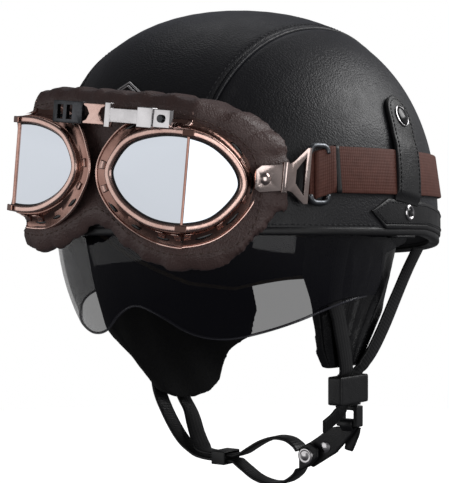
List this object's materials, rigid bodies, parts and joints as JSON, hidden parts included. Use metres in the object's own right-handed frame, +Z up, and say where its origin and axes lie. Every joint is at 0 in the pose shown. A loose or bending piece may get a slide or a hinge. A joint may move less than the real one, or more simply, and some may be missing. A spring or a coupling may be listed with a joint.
{
  "type": "open face half helmet",
  "caption": "Leather covered open face half helmet with drop-down smoke visor, aviator goggles held by an elastic strap, ear flaps and a snap chin strap.",
  "frame": {"origin": "centre of the head opening, on the plane of the shell's lower rim at the sides", "axes": "+Z up through the crown, the wearer faces -Y, the wearer's left is +X"},
  "size_m": [0.239, 0.2831, 0.289],
  "materials": {
    "black_leather": "fine pebble grain, soft satin",
    "black_leather_trim": "smooth folded edge, satin",
    "brown_leather": "soft goggle pad leather, fine grain",
    "shell_plastic": "moulded shell, matt",
    "impact_foam": "expanded foam beads, matt",
    "black_fabric": "brushed lining cloth",
    "gold_piping": "olive gold braid",
    "smoke_visor": "smoke tinted, polished",
    "copper": "polished rose copper plating",
    "copper_dark": "dark antique copper plating",
    "mirror_lens": "silver mirror coating",
    "silver": "polished plating",
    "gunmetal": "grey black plating, satin",
    "brown_elastic": "woven elastic, ribbed",
    "black_webbing": "woven nylon webbing",
    "black_plastic": "moulded buckle plastic"
  },
  "bodies": {
    "helmet": {"outer_shell": "shell_plastic", "leather_panel_centre": "black_leather", "leather_panel_left": "black_leather", "leather_panel_right": "black_leather", "seam_piping": "black_leather_trim", "rim_trim": "black_leather_trim", "rear_band": "black_leather_trim", "rear_band_eyelets": "silver", "front_badge": "silver", "impact_liner": "impact_foam", "comfort_liner": "black_fabric", "neck_skirt": "black_fabric", "liner_piping": "gold_piping", "visor_pivot_bosses": "shell_plastic", "visor_pivot_screws": "gunmetal", "goggle_strap": "brown_elastic", "tab_snap_studs": "silver", "tab_feet": "black_leather_trim"},
    "visor": {"visor_lens": "smoke_visor"},
    "goggles": {"goggle_pad": "brown_leather", "goggle_frame_left": "copper_dark", "goggle_frame_right": "copper_dark", "lens_bezel_left": "copper", "lens_bezel_right": "copper", "lens_front_left": "mirror_lens", "lens_front_right": "mirror_lens", "lens_side_left": "mirror_lens", "lens_side_right": "mirror_lens", "lens_clips": "copper_dark", "bridge_bracket_right": "copper_dark", "bridge_link": "copper", "bridge_bar": "silver", "bridge_collar": "silver", "bridge_plate": "silver", "bridge_screw": "gunmetal", "side_plates": "copper", "side_rivets": "copper", "side_loops": "copper", "strap_adjusters": "gunmetal"},
    "tab_left": {"strap_tab_left": "black_leather_trim", "tab_snap_cap_left": "gunmetal"},
    "tab_right": {"strap_tab_right": "black_leather_trim", "tab_snap_cap_right": "gunmetal"},
    "flap_left": {"ear_flap_left": "black_leather_trim", "chin_strap_left_front": "black_webbing", "chin_strap_left_rear": "black_webbing", "strap_keeper": "black_leather_trim", "d_ring": "black_plastic", "snap_tab": "black_leather_trim", "snap_tab_tail": "black_leather_trim", "snap_studs": "silver"},
    "flap_right": {"ear_flap_right": "black_fabric", "chin_strap_right_outer": "black_webbing", "chin_strap_right_inner": "black_webbing", "strap_slider": "black_plastic", "chin_loop_upper": "black_webbing", "chin_loop_lower": "black_webbing", "chin_end_tab": "black_leather_trim", "snap_button_front": "silver"}
  },
  "joints": [
    {"name": "visor_pivot", "type": "hinge", "parent": "helmet", "child": "visor", "pos_m": [0, 0.008, 0.008], "axis": [-1, 0, 0], "range_deg": [0, 40]},
    {"name": "goggle_pull", "type": "slide", "parent": "helmet", "child": "goggles", "axis": [0, -1, 0], "range_m": [0, 0.02], "stiffness_N_per_m": 250},
    {"name": "strap_tab_left_hinge", "type": "hinge", "parent": "helmet", "child": "tab_left", "pos_m": [0.1198, -0.0054, 0.0202], "axis": [0, 1, 0], "range_deg": [0, 85]},
    {"name": "strap_tab_right_hinge", "type": "hinge", "parent": "helmet", "child": "tab_right", "pos_m": [-0.1198, -0.0054, 0.0202], "axis": [0, -1, 0], "range_deg": [0, 85]},
    {"name": "ear_flap_left_swing", "type": "hinge", "parent": "helmet", "child": "flap_left", "pos_m": [0.09, 0, -0.001], "axis": [0, -1, 0], "range_deg": [0, 10]},
    {"name": "ear_flap_right_swing", "type": "hinge", "parent": "helmet", "child": "flap_right", "pos_m": [-0.09, 0, -0.001], "axis": [0, 1, 0], "range_deg": [0, 12]}
  ]
}
